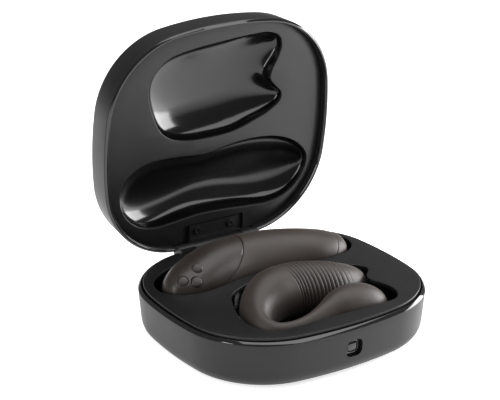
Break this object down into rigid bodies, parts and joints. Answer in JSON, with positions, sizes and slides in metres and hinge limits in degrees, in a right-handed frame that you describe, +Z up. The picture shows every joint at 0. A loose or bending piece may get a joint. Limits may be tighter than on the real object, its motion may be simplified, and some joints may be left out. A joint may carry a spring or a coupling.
{
  "type": "charging case with devices",
  "caption": "Hinged rounded-square charging case, open, holding a capsule hand remote and a folded C-shaped soft massager in fitted wells, with matching wells in the lid.",
  "frame": {"origin": "centre of the rubber foot pad's underside, on the surface that the case stands on", "axes": "+Z up, the front of the case (push button) faces -Y, the hinge is at +Y, +X to the right seen from the front; the lid is open in this frame"},
  "size_m": [0.12, 0.1255, 0.1311],
  "materials": {
    "case_shell": "satin moulded black",
    "polished_ring": "polished black",
    "deck_plate": "fine matte black",
    "well_tray": "glossy black",
    "foot_rubber": "matte",
    "silicone": "soft satin",
    "device_plastic": "satin",
    "steel": "satin",
    "magnet_nickel": "plated",
    "gold_contact": "plated",
    "circuit_board": "solder mask",
    "cell_wrap": "foil pouch",
    "core_plastic": "natural nylon"
  },
  "bodies": {
    "base": {"base_shell": "case_shell", "base_trim_ring": "polished_ring", "base_deck": "deck_plate", "base_well_rear": "well_tray", "base_well_front": "well_tray", "foot_pad": "foot_rubber", "base_screws": "steel", "base_magnets": "magnet_nickel", "hinge_block": "case_shell", "hinge_pin": "steel", "main_board": "circuit_board", "base_battery": "cell_wrap", "usb_socket": "steel", "charge_board": "circuit_board", "charge_pins_rear": "gold_contact", "charge_pins_front": "gold_contact", "front_bezel": "polished_ring", "front_switch": "core_plastic", "button_board": "circuit_board"},
    "lid": {"lid_shell": "case_shell", "lid_trim_ring": "polished_ring", "lid_liner": "deck_plate", "lid_well_rear": "well_tray", "lid_well_front": "well_tray", "hinge_leaf": "case_shell", "leaf_screws": "steel", "lid_magnets": "magnet_nickel"},
    "front_button": {"front_button": "device_plastic"},
    "remote": {"remote_housing": "device_plastic", "remote_sleeve": "device_plastic", "remote_end_cap": "device_plastic", "remote_switches": "circuit_board", "remote_board": "circuit_board", "remote_battery": "cell_wrap", "remote_contacts": "gold_contact"},
    "remote_key_upper": {"remote_key_upper": "device_plastic"},
    "remote_key_left": {"remote_key_left": "device_plastic"},
    "remote_key_lower": {"remote_key_lower": "device_plastic"},
    "massager": {"massager_skin": "silicone", "rear_core": "core_plastic", "front_core": "core_plastic", "flex_spine": "steel", "rear_motor": "steel", "front_motor": "steel", "massager_battery": "cell_wrap", "massager_board": "circuit_board", "massager_contacts": "gold_contact"},
    "rear_motor_weight": {"rear_weight": "steel"},
    "front_motor_weight": {"front_weight": "steel"}
  },
  "joints": [
    {"name": "lid_hinge", "type": "hinge", "parent": "base", "child": "lid", "pos_m": [0, 0.0533, 0.0232], "axis": [1, 0, 0], "range_deg": [0, 85]},
    {"name": "front_button_press", "type": "slide", "parent": "base", "child": "front_button", "axis": [0, 1, 0], "range_m": [0, 0.0004], "stiffness_N_per_m": 500, "springref_m": -0.0008},
    {"name": "remote_lift", "type": "slide", "parent": "base", "child": "remote", "axis": [0, 0, 1], "range_m": [0, 0.045]},
    {"name": "remote_key_upper_press", "type": "slide", "parent": "remote", "child": "remote_key_upper", "axis": [0.3599, 0.5998, -0.7147], "range_m": [0, 0.0004], "stiffness_N_per_m": 500, "springref_m": -0.0008},
    {"name": "remote_key_left_press", "type": "slide", "parent": "remote", "child": "remote_key_left", "axis": [0.3599, 0.5998, -0.7147], "range_m": [0, 0.0004], "stiffness_N_per_m": 500, "springref_m": -0.0008},
    {"name": "remote_key_lower_press", "type": "slide", "parent": "remote", "child": "remote_key_lower", "axis": [0.3599, 0.5998, -0.7147], "range_m": [0, 0.0004], "stiffness_N_per_m": 500, "springref_m": -0.0008},
    {"name": "massager_lift", "type": "slide", "parent": "base", "child": "massager", "axis": [0, 0, 1], "range_m": [0, 0.045]},
    {"name": "rear_weight_spin", "type": "hinge", "parent": "massager", "child": "rear_motor_weight", "pos_m": [0.0112, -0.0114, 0.0224], "axis": [1, 0, 0], "continuous": true},
    {"name": "front_weight_spin", "type": "hinge", "parent": "massager", "child": "front_motor_weight", "pos_m": [0.0097, -0.0338, 0.02], "axis": [1, 0, 0], "continuous": true}
  ]
}
